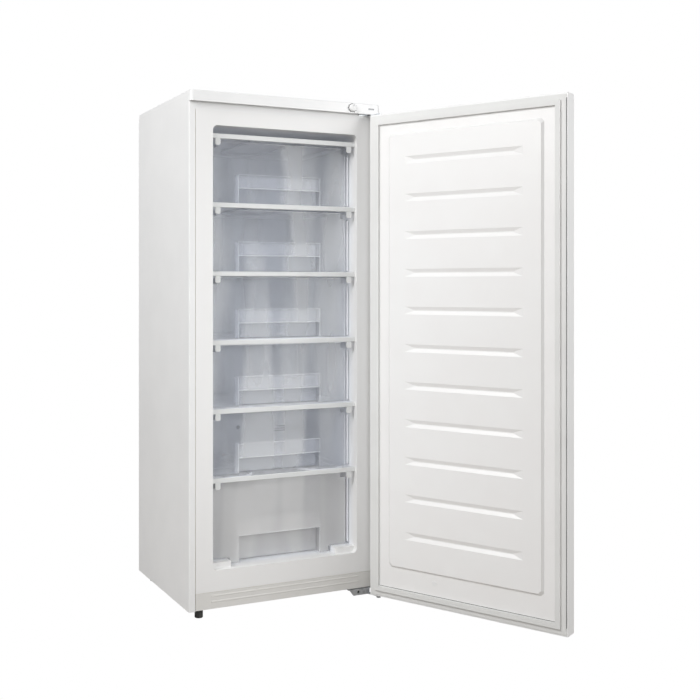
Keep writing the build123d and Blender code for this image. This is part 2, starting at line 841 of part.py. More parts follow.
def make_door_foam():
    low = door_bottom + bottom_cap_height
    high = door_top - top_cap_height
    with BuildPart() as foam:
        add(door_form(steel, low, high))
        # the ends fill the caps, round the bushes' bosses
        add(door_form(cap_wall, door_bottom + cap_wall, door_top - cap_wall))
        with Locations(door_frame.location):
            block(free_edge, hinge_edge, liner_back, door_inside + 1, low, high,
                  mode=Mode.SUBTRACT)
            for z0, z1 in ((door_top - top_cap_height, door_top),
                           (door_bottom, door_bottom + bottom_cap_height)):
                block(-boss_reach, boss_reach, -boss_reach, boss_reach, z0, z1,
                      mode=Mode.SUBTRACT)
            block(handle_edge, handle_edge + handle_width, door_outside,
                  handle_floor, handle_low, handle_high, mode=Mode.SUBTRACT)
        add(field_form(liner_wall))
        add(groove_forms(liner_wall), mode=Mode.SUBTRACT)
        with BuildSketch(facing_in(liner_back - 8)):
            with Locations((-plug_x, door_bottom + plug_lift)):
                RegularPolygon(plug_stem, 8)
        extrude(amount=9, mode=Mode.SUBTRACT)
    save(foam, "door_foam")


def make_cap(name, outer, inner):
    """End cap of the door, hollow towards the door, with a boss for a bush."""
    up = 1 if inner > outer else -1
    floor = outer + up * cap_wall
    with BuildPart() as cap:
        add(door_form(0.0, min(outer, inner), max(outer, inner)))
        add(door_form(cap_wall, min(floor, inner + up), max(floor, inner + up)),
            mode=Mode.SUBTRACT)
        with Locations(door_frame.location):
            low, high = min(outer, inner), max(outer, inner)
            block(-boss_reach, boss_reach, -boss_reach, boss_reach, low, high)
            block(-bush_reach, bush_reach, -bush_reach, bush_reach, low - 1, high + 1,
                  mode=Mode.SUBTRACT)
    save(cap, name)


def make_gasket():
    """Magnetic seal round the inner door, with its strip at the end of a channel."""
    height = door_top - door_bottom
    centre = (-door_middle, (door_top + door_bottom) / 2)
    magnet_inset = bulb_inset + (bulb_width - magnet_width) / 2
    magnet_seat = door_gap - squeeze_gap - bulb_wall

    def frame(inset, width):
        with Locations(centre):
            Rectangle(cabinet_width - 2 * inset, height - 2 * inset)
            Rectangle(
                cabinet_width - 2 * inset - 2 * width,
                height - 2 * inset - 2 * width,
                mode=Mode.SUBTRACT,
            )

    with BuildPart() as gasket:
        with BuildSketch(facing_in(door_inside)):
            frame(gasket_inset, gasket_width)
        extrude(amount=gasket_base)
        with BuildSketch(facing_in(door_inside)):
            frame(bulb_inset, bulb_width)
        extrude(amount=door_gap - squeeze_gap)
        with BuildSketch(facing_in(door_inside)):
            frame(magnet_inset, magnet_width)
        extrude(amount=magnet_seat, mode=Mode.SUBTRACT)
    save(gasket, "door_gasket")

    with BuildPart() as magnet:
        with BuildSketch(facing_in(door_inside + magnet_seat)):
            frame(magnet_inset, magnet_width)
        extrude(amount=-magnet_thick)
    save(magnet, "door_magnet")


def make_door_fittings():
    with BuildPart() as grip:
        with Locations(door_frame.location):
            block(handle_edge, handle_edge + handle_width, door_outside,
                  handle_floor, handle_low, handle_high)
            block(handle_edge + handle_wall, handle_edge + handle_width - handle_wall,
                  door_outside - 1, handle_floor - handle_wall,
                  handle_low + handle_wall, handle_high - handle_wall,
                  mode=Mode.SUBTRACT)
    save(grip, "door_grip")

    with BuildPart() as plug:
        with BuildSketch(facing_in(door_inside)):
            with Locations((-plug_x, door_bottom + plug_lift)):
                RegularPolygon(plug_radius, 16)
        extrude(amount=plug_rise, taper=20)
        with BuildSketch(facing_in(liner_back - 7)):
            with Locations((-plug_x, door_bottom + plug_lift)):
                RegularPolygon(plug_stem, 8)
        extrude(amount=liner_wall + 7)
    save(plug, "door_plug")

    start = free_edge + stop_plate_from_edge
    depth = (door_inside + door_outside) / 2
    with BuildPart() as stop:
        with BuildSketch(on_door(Plane.XY.offset(door_bottom))) as stop_outline:
            with Locations((start + stop_plate_length / 2, depth)):
                Rectangle(stop_plate_length, stop_plate_width)
            chamfer(stop_outline.vertices(), 4)
        extrude(amount=-2)
        with BuildSketch(on_door(Plane.XY.offset(door_bottom - 2))):
            with Locations((start + stop_plate_length / 2, depth)):
                with GridLocations(stop_plate_length / 2, 0, 2, 1):
                    RegularPolygon(screw_head, 6)
        extrude(amount=-1)
    save(stop, "spare_stop_plate")

    with BuildPart() as bushes:
        with Locations(door_frame.location):
            for half, z0, z1 in (
                (bush_reach, door_top - top_cap_height, door_top),
                (bush_flange, door_top, door_top + bush_lip),
                (bush_reach, door_bottom, door_bottom + bottom_cap_height),
                (bush_flange, door_bottom - bush_lip, door_bottom),
            ):
                block(-half, half, -half, half, z0, z1)
            rod(0, 0, door_bottom - 9, door_top + 9, pin_radius + turning_gap, Mode.SUBTRACT)
    save(bushes, "hinge_bushes")


# ============================================================ hinges
def tongue(plate):
    """Outline of a hinge's forward leg, round at the pin."""
    edge = right - hinge_edge_gap
    with BuildSketch(Plane.XY.offset(plate)) as leg:
        with Locations((pivot_x, pivot_y)):
            Circle(edge - pivot_x)
        with BuildLine():
            Polyline(
                (edge, pivot_y),
                (edge, front),
                (edge - tongue_width, front),
                (2 * pivot_x - edge, pivot_y),
                close=True,
            )
        make_face()
    return leg.sketch


def make_upper_hinge():
    x0, x1 = upper_hinge_x, right - hinge_edge_gap
    with BuildPart() as bracket:
        block(x0, x1, front - hinge_plate, front + upper_tail, shell_top,
              shell_top + hinge_plate)
        block(x0, x1, front - hinge_plate, front, upper_plate, shell_top + hinge_plate)
        extrude(tongue(upper_plate), amount=hinge_plate)
        # riveted pin with its head above the leg
        rod(pivot_x, pivot_y, door_top - pin_reach + 1, upper_plate, pin_radius)
        with BuildSketch(Plane.XY.offset(upper_plate + hinge_plate)):
            with Locations((pivot_x, pivot_y)):
                RegularPolygon(pin_head, 12)
        extrude(amount=2)
    save(bracket, "upper_hinge")


def make_lower_hinge():
    x0, x1 = lower_hinge_x, right - hinge_edge_gap
    shelf_z = base - hinge_plate
    with BuildPart() as bracket:
        block(x0, x1, front, front + lower_tail, shelf_z, base)
        # upright flange across the front, cut back where the door's corner swings
        with BuildSketch(Plane.XZ.offset(hinge_plate - front)):
            with BuildLine():
                Polyline(
                    (x0, base),
                    (x0 + lower_corner_cut, lower_plate),
                    (x1, lower_plate),
                    (x1, lower_plate + hinge_plate),
                    (pivot_x - 14, lower_plate + hinge_plate),
                    (pivot_x - 14, base),
                    close=True,
                )
            make_face()
            with Locations((x0 + 30, (base + lower_plate) / 2)):
                RegularPolygon(flange_hole, 12, mode=Mode.SUBTRACT)
        extrude(amount=-hinge_plate)
        extrude(tongue(lower_plate), amount=hinge_plate)
        with BuildSketch(Plane.XY.offset(shelf_z)):
            with Locations((front_feet[1], 0)):
                RegularPolygon(stud_radius + 0.6, 6, major_radius=False)
        extrude(amount=hinge_plate, mode=Mode.SUBTRACT)
        # screwed-in pin with its nut below the leg
        rod(pivot_x, pivot_y, lower_plate + hinge_plate, door_bottom + pin_reach, pin_radius)
        with BuildSketch(Plane.XY.offset(lower_plate)):
            with Locations((pivot_x, pivot_y)):
                RegularPolygon(pin_head, 6)
        extrude(amount=-5)
    save(bracket, "lower_hinge")


def make_screws():
    """Heads of the screws that hold the hinges to the cabinet."""
    with BuildPart() as screws:
        for points, height, side in ((upper_screws, shell_top + hinge_plate, 1),
                                     (lower_screws, base - hinge_plate, -1)):
            with BuildSketch(Plane.XY.offset(height)):
                with Locations(*points):
                    RegularPolygon(screw_head, 6)
            extrude(amount=2 * side)
    save(screws, "hinge_screws")


# ============================================================ feet
def make_feet():
    """Levelling feet in front, turned by hand on their studs; fixed feet behind."""
    for side, x in zip(("left", "right"), front_feet):
        with BuildPart() as foot:
            with BuildSketch(Plane.XY):
                with Locations((x, 0)):
                    RegularPolygon(sole_radius, 24)
            extrude(amount=foot_body)
            chamfer(foot.edges().group_by(Axis.Z)[0], 1)
            rod(x, 0, foot_body, base + stud_top, stud_radius)
        save(foot, f"front_foot_{side}")

    with BuildPart() as nuts:
        with BuildSketch(Plane.XY.offset(base)):
            with Locations(*[(x, 0) for x in front_feet]):
                RegularPolygon(nut_radius, 6)
                Circle(stud_radius + turning_gap, mode=Mode.SUBTRACT)
        extrude(amount=nut_height)
    save(nuts, "foot_nuts")

    for side, x in (("left", left + rear_foot_inset), ("right", right - rear_foot_inset)):
        with BuildPart() as foot:
            with BuildSketch(Plane.XY):
                with Locations((x, rail_back - 28)):
                    RegularPolygon(rear_foot_radius, 16)
            extrude(amount=base)
            chamfer(foot.edges().group_by(Axis.Z)[0], 2)
        save(foot, f"rear_foot_{side}")


# ============================================================ machinery
def pot_outline(height, grow=0.0):
    """Outline of the compressor's pot, grown all round."""
    with BuildSketch(Plane.XY.offset(height)) as outline:
        with Locations((compressor_x, compressor_y)):
            Rectangle(compressor_length + 2 * grow, compressor_width + 2 * grow)
        chamfer(outline.vertices(), pot_corner)
        chamfer(outline.vertices(), pot_corner * 0.3)
    return outline.sketch


def pot_form(low, high, seam):
    """The compressor's pot with the welded seam round it."""
    with BuildPart(mode=Mode.PRIVATE) as pot:
        extrude(pot_outline(low), amount=high - low)
        extrude(pot_outline(seam, 3.0), amount=4)
    return pot.part


def make_compressor():
    plate = 3.0
    seat = pot_floor + plate
    seam = seat + pot_height * 0.6
    with BuildPart() as compressor:
        with BuildSketch(Plane.XY.offset(pot_floor)):
            with Locations((compressor_x, compressor_y)):
                Rectangle(mount_spacing_x + 28, mount_spacing_y + 28)
                with GridLocations(mount_spacing_x, mount_spacing_y, 2, 2):
                    RegularPolygon(bolt_hole, 6, mode=Mode.SUBTRACT)
        extrude(amount=plate)
        block(compressor_x - compressor_length / 2 + 34,
              compressor_x + compressor_length / 2 - 34,
              compressor_y - 36, compressor_y + 36, seat, seat + 14)
        add(pot_form(seat + 14, seat + pot_height, seam))
        extrude(pot_outline(seat + pot_height), amount=dome_height, taper=45)
    save(compressor, "compressor")

    with BuildPart() as grommets:
        with BuildSketch(Plane.XY.offset(base + rail_sheet)):
            with Locations(*mount_points):
                RegularPolygon(grommet_radius, 8)
                RegularPolygon(bolt_hole, 6, mode=Mode.SUBTRACT)
        extrude(amount=pot_floor - base - rail_sheet)
    save(grommets, "compressor_grommets")

    with BuildPart() as bolts:
        for radius, low, high in (
            (bolt_radius, base - 6, pot_floor + plate),
            (bolt_radius * 2, pot_floor + plate, pot_floor + plate + 3),
            (bolt_radius * 2, base - 4, base),
        ):
            with BuildSketch(Plane.XY.offset(low)):
                with Locations(*mount_points):
                    RegularPolygon(radius, 6)
            extrude(amount=high - low)
    save(bolts, "compressor_bolts")

    with BuildPart() as box:
        block(box_x - box_depth / 2, box_x + box_depth / 2, compressor_y - box_width / 2,
              compressor_y + box_width / 2, seat + 22, seat + 22 + box_height)
        chamfer(box.edges().filter_by(Axis.X), 3)
        # gland where the mains lead enters
        with BuildSketch(Plane.XZ.offset(-compressor_y - box_width / 2)):
            with Locations((box_x + 6, seat + 40)):
                RegularPolygon(inlet_radius + 3, 12)
        extrude(amount=-6)
        with BuildSketch(Plane.XZ.offset(-compressor_y - box_width / 2 + 14)):
            with Locations((box_x + 6, seat + 40)):
                RegularPolygon(inlet_radius, 12)
        extrude(amount=-21, mode=Mode.SUBTRACT)
        add(pot_form(seat, seat + pot_height + 1, seam), mode=Mode.SUBTRACT)
    save(box, "terminal_box")


def make_pipe(name, *turns):
    """A pipe bent along a run of points."""
    with BuildPart() as pipe:
        with BuildLine() as path:
            Polyline(*turns)
        with BuildSketch(Plane(origin=path.line @ 0, z_dir=path.line % 0)):
            RegularPolygon(pipe_radius, 6)
        sweep(transition=Transition.RIGHT)
    save(pipe, name)


def make_pipes():
    end = compressor_x - compressor_length / 2
    low = pot_floor + discharge_port
    high = pot_floor + suction_port
    port = compressor_y - port_spacing
    make_pipe(
        "suction_pipe",
        (end, compressor_y, high),
        (suction_x + bend_cut, compressor_y, high),
        (suction_x, compressor_y + bend_cut, high),
        (suction_x, pipe_y - bend_cut, high),
        (suction_x, pipe_y, high + bend_cut),
        (suction_x, pipe_y, suction_rise),
        (suction_x, cavity_back - pipe_end, suction_rise),
    )
    make_pipe(
        "discharge_pipe",
        (end, port, low),
        (discharge_x + bend_cut, port, low),
        (discharge_x, port + bend_cut, low),
        (discharge_x, pipe_y - bend_cut, low),
        (discharge_x, pipe_y, low + bend_cut),
        (discharge_x, pipe_y, bay_top + coil_entry),
        (discharge_x, foam_back + coil_room - coil_tube, bay_top + coil_entry),
    )

    with BuildPart() as drier:
        with BuildSketch(Plane.XY.offset(bay_top - drier_drop)):
            with Locations((drier_x, pipe_y)):
                RegularPolygon(drier_radius, 12)
        extrude(amount=-drier_length)
        ends = drier.edges().filter_by(Axis.Z, reverse=True)
        chamfer(ends, drier_radius / 2)
        with BuildSketch(Plane.XY.offset(bay_top)):
            with Locations((drier_x, pipe_y)):
                RegularPolygon(capillary_radius, 6)
        extrude(amount=-drier_drop - capillary_radius)
    save(drier, "filter_drier")


def make_condenser():
    """Condenser tube held between the insulation and the back panel."""
    low = bay_top + 60
    high = shell_top - 90
    depth = foam_back + coil_room - coil_tube / 2
    first = middle - coil_pitch * (coil_passes - 1) / 2
    turns = []
    for i in range(coil_passes):
        x = first + i * coil_pitch
        start, end = (low, high) if i % 2 == 0 else (high, low)
        inward = coil_cut if start < end else -coil_cut
        if i > 0:
            turns += [(x - coil_cut, depth, start), (x, depth, start + inward)]
        else:
            turns += [(x, depth, start)]
        if i < coil_passes - 1:
            turns += [(x, depth, end - inward), (x + coil_cut, depth, end)]
        else:
            turns += [(x, depth, end)]
    with BuildPart() as coil:
        with BuildLine() as path:
            Polyline(*turns)
        with BuildSketch(Plane(origin=path.line @ 0, z_dir=path.line % 0)):
            Rectangle(coil_tube, coil_tube)
        sweep(transition=Transition.RIGHT)
    save(coil, "condenser_coil")


make_cabinet_shell()
make_back_panel()
make_kick_plate()
make_base_panel()
make_compressor_rail()
make_liner()
make_foam_core()
make_top_cover()
make_thermostat()
for index, shelf_level in enumerate(shelf_levels):
    make_shelf(index + 1, shelf_level)
    make_trim(index + 1, shelf_level)
for index, shelf_level in enumerate(shelf_levels[1:]):
    drawer_floor = shelf_level + drawer_seat
    make_drawer(index + 1, drawer_floor, drawer_floor + drawer_height,
                cavity_back - drawer_rear_gap, pocket_height)
make_drawer(6, cavity_floor + 0.5, low_shelf - trim_height / 2 - drawer_headroom,
            step_front - drawer_rear_gap / 2, deep_pocket_height,
            cavity_floor + plinth_height + 1)
make_door_skin()
make_door_liner()
make_door_foam()
make_cap("door_top_cap", door_top, door_top - top_cap_height)
make_cap("door_bottom_cap", door_bottom, door_bottom + bottom_cap_height)
make_gasket()
make_door_fittings()
make_upper_hinge()
make_lower_hinge()
make_screws()
make_feet()
make_compressor()
make_pipes()
make_condenser()
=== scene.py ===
"""Looks of the upright freezer: materials, finer pieces, light and camera."""

from math import cos, pi, radians, sin

import bpy
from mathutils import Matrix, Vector


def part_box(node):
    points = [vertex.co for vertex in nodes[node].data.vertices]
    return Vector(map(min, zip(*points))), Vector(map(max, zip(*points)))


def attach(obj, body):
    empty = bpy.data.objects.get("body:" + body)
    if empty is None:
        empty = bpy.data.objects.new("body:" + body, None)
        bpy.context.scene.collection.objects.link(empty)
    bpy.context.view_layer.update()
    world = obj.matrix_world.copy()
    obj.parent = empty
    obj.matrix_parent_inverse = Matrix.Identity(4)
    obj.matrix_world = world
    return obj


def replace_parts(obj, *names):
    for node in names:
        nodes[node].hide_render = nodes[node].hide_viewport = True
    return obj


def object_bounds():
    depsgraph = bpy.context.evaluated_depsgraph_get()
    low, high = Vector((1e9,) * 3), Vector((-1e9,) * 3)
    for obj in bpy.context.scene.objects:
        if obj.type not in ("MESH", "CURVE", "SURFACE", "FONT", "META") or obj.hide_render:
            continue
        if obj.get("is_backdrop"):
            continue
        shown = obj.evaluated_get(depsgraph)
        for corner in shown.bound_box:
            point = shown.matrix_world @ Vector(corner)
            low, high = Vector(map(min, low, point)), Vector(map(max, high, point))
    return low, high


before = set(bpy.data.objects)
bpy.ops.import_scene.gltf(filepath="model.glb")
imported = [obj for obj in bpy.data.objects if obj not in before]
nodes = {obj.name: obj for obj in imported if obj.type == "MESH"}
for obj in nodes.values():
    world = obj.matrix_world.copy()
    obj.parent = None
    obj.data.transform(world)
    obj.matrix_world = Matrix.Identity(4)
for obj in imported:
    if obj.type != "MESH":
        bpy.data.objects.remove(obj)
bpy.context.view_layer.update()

# ---------------------------------------------------------------- shader maths
MIX_FACTOR, MIX_A, MIX_B = 0, 6, 7  # the Mix node's inputs for colours
MIX_RESULT = 2  # and its output


class Value:
    """A shader output that can be used in plain arithmetic."""

    def __init__(self, tree, socket):
        self.tree = tree
        self.socket = socket

    def node(self, kind, inputs, output=0, **settings):
        made = self.tree.nodes.new(kind)
        for name, setting in settings.items():
            setattr(made, name, setting)
        for name, given in inputs.items():
            if isinstance(given, Value):
                self.tree.links.new(given.socket, made.inputs[name])
            else:
                made.inputs[name].default_value = given
        return Value(self.tree, made.outputs[output])

    def math(self, operation, *others):
        inputs = dict(enumerate((self, *others)))
        return self.node("ShaderNodeMath", inputs, operation=operation)

    def __add__(self, other):
        return self.math("ADD", other)

    def __radd__(self, other):
        return self.math("ADD", other)

    def noise(self, scale, detail=2.0, rough=0.5):
        settings = {"Vector": self, "Scale": scale, "Detail": detail, "Roughness": rough}
        return self.node("ShaderNodeTexNoise", settings)

    def axis(self, name):
        return self.node("ShaderNodeSeparateXYZ", {"Vector": self}, output="XYZ".index(name))

    def ramp(self, low, high, start=0.0, end=1.0):
        """Rises from start to end as the value goes from low to high."""
        inputs = {"Value": self, "From Min": low, "From Max": high, "To Min": start, "To Max": end}
        return self.node("ShaderNodeMapRange", inputs, interpolation_type="SMOOTHSTEP")

    def mix(self, first, second):
        """A colour between two, by this value."""
        inputs = {MIX_FACTOR: self, MIX_A: (*first, 1.0), MIX_B: (*second, 1.0)}
        return self.node("ShaderNodeMix", inputs, MIX_RESULT, data_type="RGBA")


def material(name, **constants):
    """A new material, its main shader with constants set, and the object coordinates."""
    made = bpy.data.materials.new(name)
    made.use_nodes = True
    tree = made.node_tree
    shader = tree.nodes["Principled BSDF"]
    for socket, constant in constants.items():
        shader.inputs[socket.replace("_", " ")].default_value = constant
    place = tree.nodes.new("ShaderNodeTexCoord")
    return made, shader, Value(tree, place.outputs["Object"])


def plug(value, shader, socket):
    """Links a value to a shader's input."""
    value.tree.links.new(value.socket, shader.inputs[socket])


def bumped(place, shader, height, strength, distance):
    """Raises the surface by a height, given in metres of relief."""
    inputs = {"Strength": strength, "Distance": distance, "Height": height}
    plug(place.node("ShaderNodeBump", inputs), shader, "Normal")


CLOUD_SCALE = 9.0
GLOSS_SCALE = 26.0
GRAIN_STRENGTH = 0.25


def cloudy(place):
    """Slow clouds between 0 and 1, for faint changes of tone."""
    return place.noise(CLOUD_SCALE, 3.0)


def grained(place, shader, roughness, grain, relief):
    """Slow changes of gloss, and a fine grain."""
    gloss = place.noise(GLOSS_SCALE, 2.0).ramp(0.2, 0.8, roughness - 0.04, roughness + 0.05)
    plug(gloss, shader, "Roughness")
    bumped(place, shader, place.noise(grain, 2.0), GRAIN_STRENGTH, relief)


# ---------------------------------------------------------------- looks
def sheet_look(name, light, dark, roughness, grain=0.0, relief=0.0):
    """A coated or moulded surface: faint cloudy tone, and a fine grain where it has relief."""
    look, shader, place = material(name, Roughness=roughness)
    plug(cloudy(place).ramp(0.3, 0.7).mix(dark, light), shader, "Base Color")
    if relief:
        grained(place, shader, roughness, grain, relief)
    return look


def painted_light_cavity_look(name, front, painted_light_inside, roughness, grain, relief):
    """Formed sheet whose deeper walls are painted cooler and lighter than its front face: painted
    light that lifts the shade inside.
    """
    look, shader, place = material(name, Roughness=roughness)
    depth = place.axis("Y") + cloudy(place).ramp(0.3, 0.7, -0.004, 0.004)
    plug(depth.ramp(-0.02, 0.03).mix(front, painted_light_inside), shader, "Base Color")
    grained(place, shader, roughness, grain, relief)
    return look


def clear_look(name, light, dark, roughness, low, high):
    """Moulded clear plastic: a thin tint, with slow upright streaks of lighter, less clear tint
    that stand for reflections: painted reflection.
    """
    look, shader, place = material(name, Roughness=roughness, IOR=1.55)
    upright = place.node("ShaderNodeMapping", {"Vector": place, "Scale": (11.0, 6.0, 1.3)})
    # lighter, less clear upright streaks: painted reflection
    painted_reflection_bands = upright.noise(1.0, 1.0).ramp(0.38, 0.62)
    plug(painted_reflection_bands.mix(dark, light), shader, "Base Color")
    plug(painted_reflection_bands.ramp(0.0, 1.0, low, high), shader, "Alpha")
    bumped(place, shader, place.noise(14.0, 1.0), 0.3, 0.0008)
    return look


def brushed_look(name, light, dark, roughness):
    """Plated steel, with spangles and a soft sheen."""
    look, shader, place = material(name, Metallic=0.75, Roughness=roughness)
    spangle = place.node("ShaderNodeTexVoronoi", {"Vector": place, "Scale": 90.0})
    plug(spangle.ramp(0.1, 0.7).mix(dark, light), shader, "Base Color")
    plug(place.noise(60.0, 3.0).ramp(0.2, 0.8, roughness - 0.08, roughness + 0.1),
         shader, "Roughness")
    bumped(place, shader, place.noise(300.0, 2.0), 0.2, 0.0001)
    return look


looks = {
    "white_paint": sheet_look(
        "white_paint_look", (0.86, 0.86, 0.855), (0.8385, 0.8385, 0.833625), 0.42, 700.0, 0.00005),
    "grey_paint": sheet_look(
        "grey_paint_look", (0.66, 0.65, 0.64), (0.62, 0.61, 0.60), 0.5, 700.0, 0.00005),
    "galvanised_sheet": brushed_look(
        "galvanised_look", (0.50, 0.51, 0.52), (0.40, 0.41, 0.42), 0.5),
    "white_abs": sheet_look(
        "white_abs_look", (0.88, 0.88, 0.875), (0.86, 0.86, 0.855), 0.3),
    "liner_white": sheet_look(
        "door_liner_look", (0.905, 0.90, 0.89), (0.895, 0.885, 0.875), 0.34, 260.0, 0.00006),
    "insulation": sheet_look(
        "insulation_look", (0.72, 0.62, 0.36), (0.62, 0.52, 0.28), 0.9, 160.0, 0.0008),
    "dark_plastic": sheet_look(
        "dark_plastic_look", (0.02, 0.02, 0.021), (0.014, 0.014, 0.015), 0.5, 500.0, 0.00005),
    "lens_plastic": sheet_look(
        "lens_look", (0.27, 0.28, 0.29), (0.23, 0.24, 0.25), 0.2, 500.0, 0.00002),
    "shelf_enamel": sheet_look(
        "shelf_enamel_look", (0.86, 0.88, 0.92), (0.82, 0.84, 0.89), 0.38, 600.0, 0.00004),
    "clear_plastic": clear_look(
        "clear_plastic_look", (0.95, 0.97, 1.0), (0.85, 0.89, 0.98), 0.07, 0.14, 0.27),
    "frosted_plastic": clear_look(
        "frosted_plastic_look", (0.90, 0.90, 0.90), (0.86, 0.86, 0.87), 0.3, 0.36, 0.46),
    "black_enamel": sheet_look(
        "black_enamel_look", (0.012, 0.012, 0.013), (0.008, 0.008, 0.009), 0.28, 300.0, 0.00004),
    "black_rubber": sheet_look(
        "black_rubber_look", (0.020, 0.020, 0.020), (0.013, 0.013, 0.013), 0.8, 400.0, 0.0001),
    "zinc_steel": brushed_look(
        "zinc_steel_look", (0.62, 0.64, 0.66), (0.46, 0.48, 0.50), 0.42),
    "copper_pipe": brushed_look(
        "copper_look", (0.72, 0.36, 0.22), (0.52, 0.24, 0.14), 0.34),
    "gasket_vinyl": sheet_look(
        "gasket_look", (0.80, 0.80, 0.785), (0.77, 0.77, 0.755), 0.6, 300.0, 0.0001),
}
# shelf trims: a darker copy of the white plastic, painted shade
trim_painted_shade_look = sheet_look(
    "trim_painted_shade_look", (0.76, 0.77, 0.765), (0.73, 0.74, 0.735), 0.32, 500.0, 0.00003)
# kick plate: darker and warmer than the white paint, its darkness painted shade
kick_painted_shade_look = sheet_look(
    "kick_plate_painted_shade_look", (0.74, 0.73, 0.705), (0.72, 0.71, 0.68), 0.36, 500.0, 0.00003)
foot_look = sheet_look(
    "foot_look", (0.065, 0.065, 0.062), (0.045, 0.045, 0.043), 0.55, 400.0, 0.00008)
# the cavity's liner, lighter and cooler deeper in: painted light
liner_look = painted_light_cavity_look(
    "cavity_liner_painted_light_look", (0.85, 0.845, 0.835), (0.89, 0.91, 0.945), 0.34, 260.0, 0.00006)
# pale, nearly opaque clear plastic for the drawers' edges and flanges: painted highlight
painted_highlight_look = clear_look(
    "clear_edge_look", (0.97, 0.98, 1.0), (0.94, 0.96, 1.0), 0.25, 0.80, 0.95)
# near-black strips, rings and marks: painted shadow
painted_shadow_look = sheet_look(
    "shadow_gap_look", (0.10, 0.10, 0.10), (0.07, 0.07, 0.07), 0.8, 300.0, 0.00005)

DRAWERS = range(1, 7)
LOWEST = 6
own_looks = {"kick_plate": kick_painted_shade_look, "liner": liner_look}
own_looks.update({f"shelf_trim_{number}": trim_painted_shade_look for number in DRAWERS})
for name, node in nodes.items():
    for seat in node.material_slots:
        seat.material = own_looks.get(name) or looks[seat.material.name.split(".")[0]]


# ---------------------------------------------------------------- making pieces
FORWARD, BACKWARD, UP, DOWN = (0, -1, 0), (0, 1, 0), (0, 0, 1), (0, 0, -1)
SHARP_ANGLE = 35  # degrees; edges that turn more than this stay sharp
BEVEL_STEPS = 3


def finish_piece(piece, slot_name, body, look=None):
    """Gives a piece its look, the slot's look unless one is given, and the body that it rides."""
    piece.data.materials.append(look or looks[slot_name])
    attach(piece, body)
    return piece


def mesh_piece(name, points, faces, slot_name, body, smooth=SHARP_ANGLE, look=None):
    mesh = bpy.data.meshes.new(name)
    mesh.from_pydata(points, [], faces)
    mesh.validate()
    mesh.update()
    piece = bpy.data.objects.new(name, mesh)
    bpy.context.scene.collection.objects.link(piece)
    if smooth:
        mesh.shade_smooth()
        mesh.set_sharp_from_angle(angle=radians(smooth))
    return finish_piece(piece, slot_name, body, look)


def rings_piece(name, rings, slot_name, body, smooth=SHARP_ANGLE, look=None):
    """A closed form through rings of points, flat at both ends."""
    count = len(rings[0])
    points = [tuple(point) for ring in rings for point in ring]
    faces = [tuple(reversed(range(count)))]
    for row in range(len(rings) - 1):
        for i in range(count):
            j = (i + 1) % count
            low, high = row * count, (row + 1) * count
            faces.append((low + i, low + j, high + j, high + i))
    last = (len(rings) - 1) * count
    faces.append(tuple(last + i for i in range(count)))
    return mesh_piece(name, points, faces, slot_name, body, smooth, look)


def turned_piece(name, centre, axis, profile, slot_name, body, count=40, smooth=SHARP_ANGLE,
                 look=None):
    """A turned form: profile gives (distance along the axis, radius)."""
    centre, axis = Vector(centre), Vector(axis).normalized()
    side = axis.orthogonal().normalized()
    other = axis.cross(side)
    rings = []
    for along, radius in profile:
        ring = []
        for i in range(count):
            turn = 2 * pi * i / count
            ring.append(centre + axis * along + (side * cos(turn) + other * sin(turn)) * radius)
        rings.append(ring)
    return rings_piece(name, rings, slot_name, body, smooth, look)


BOX_FACES = [(0, 1, 3, 2), (4, 6, 7, 5), (0, 4, 5, 1), (2, 3, 7, 6), (0, 2, 6, 4), (1, 5, 7, 3)]


def box_piece(name, low, high, slot_name, body, bevel=0.0, plane=None, look=None):
    """A box between two corners, in the part's frame or on a plane given as (origin, x, y)."""
    xs, ys, zs = zip(low, high)
    corners = [(x, y, z) for x in xs for y in ys for z in zs]
    if plane:
        origin, along, across = plane
        corners = [(origin[0] + along[0] * x + across[0] * y,
                    origin[1] + along[1] * x + across[1] * y, z) for x, y, z in corners]
    piece = mesh_piece(name, corners, BOX_FACES, slot_name, body, SHARP_ANGLE, look)
    if bevel:
        edge = piece.modifiers.new("edge", "BEVEL")
        edge.width = bevel
        edge.segments = BEVEL_STEPS
    return piece


def wire_piece(name, runs, radius, slot_name, body, sides=3, look=None):
    """Round wire or tube along runs of points."""
    curve = bpy.data.curves.new(name, "CURVE")
    curve.dimensions = "3D"
    curve.bevel_depth = radius
    curve.bevel_resolution = sides
    curve.use_fill_caps = True
    for run in runs:
        spline = curve.splines.new("POLY")
        spline.points.add(len(run) - 1)
        for point, place in zip(spline.points, run):
            point.co = (*place, 1.0)
    piece = bpy.data.objects.new(name, curve)
    bpy.context.scene.collection.objects.link(piece)
    return finish_piece(piece, slot_name, body, look)


